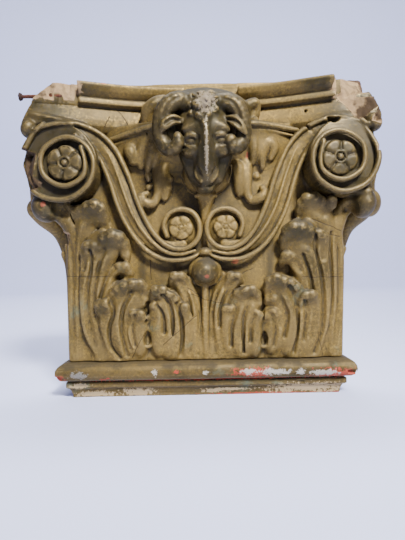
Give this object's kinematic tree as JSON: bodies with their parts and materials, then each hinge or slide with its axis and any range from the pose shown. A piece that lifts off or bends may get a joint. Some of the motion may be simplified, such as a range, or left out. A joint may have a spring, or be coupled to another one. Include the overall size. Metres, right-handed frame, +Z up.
{
  "type": "corinthian pilaster capital",
  "caption": "Gilt flat-backed pilaster capital with acanthus leaves, scrolls, corner volutes and a ram's head.",
  "frame": {"origin": "middle of the flat underside of the base moulding", "axes": "+Z up, +X to the right of someone facing the capital, front towards -Y and flat back towards +Y"},
  "size_m": [0.3518, 0.0895, 0.3],
  "materials": {
    "worn_gilding": "worn bronze gilding over composition and wood, dusty on top, bare beige where broken",
    "gilt_moulding": "worn gilding over red bole and white gesso",
    "old_wood": "gilt front, bare dark wood at the broken end",
    "rusty_iron": "rusted wire nail"
  },
  "bodies": {
    "root": {"capital": "worn_gilding", "base_moulding": "gilt_moulding", "back_board": "old_wood", "nail": "rusty_iron"}
  },
  "joints": []
}
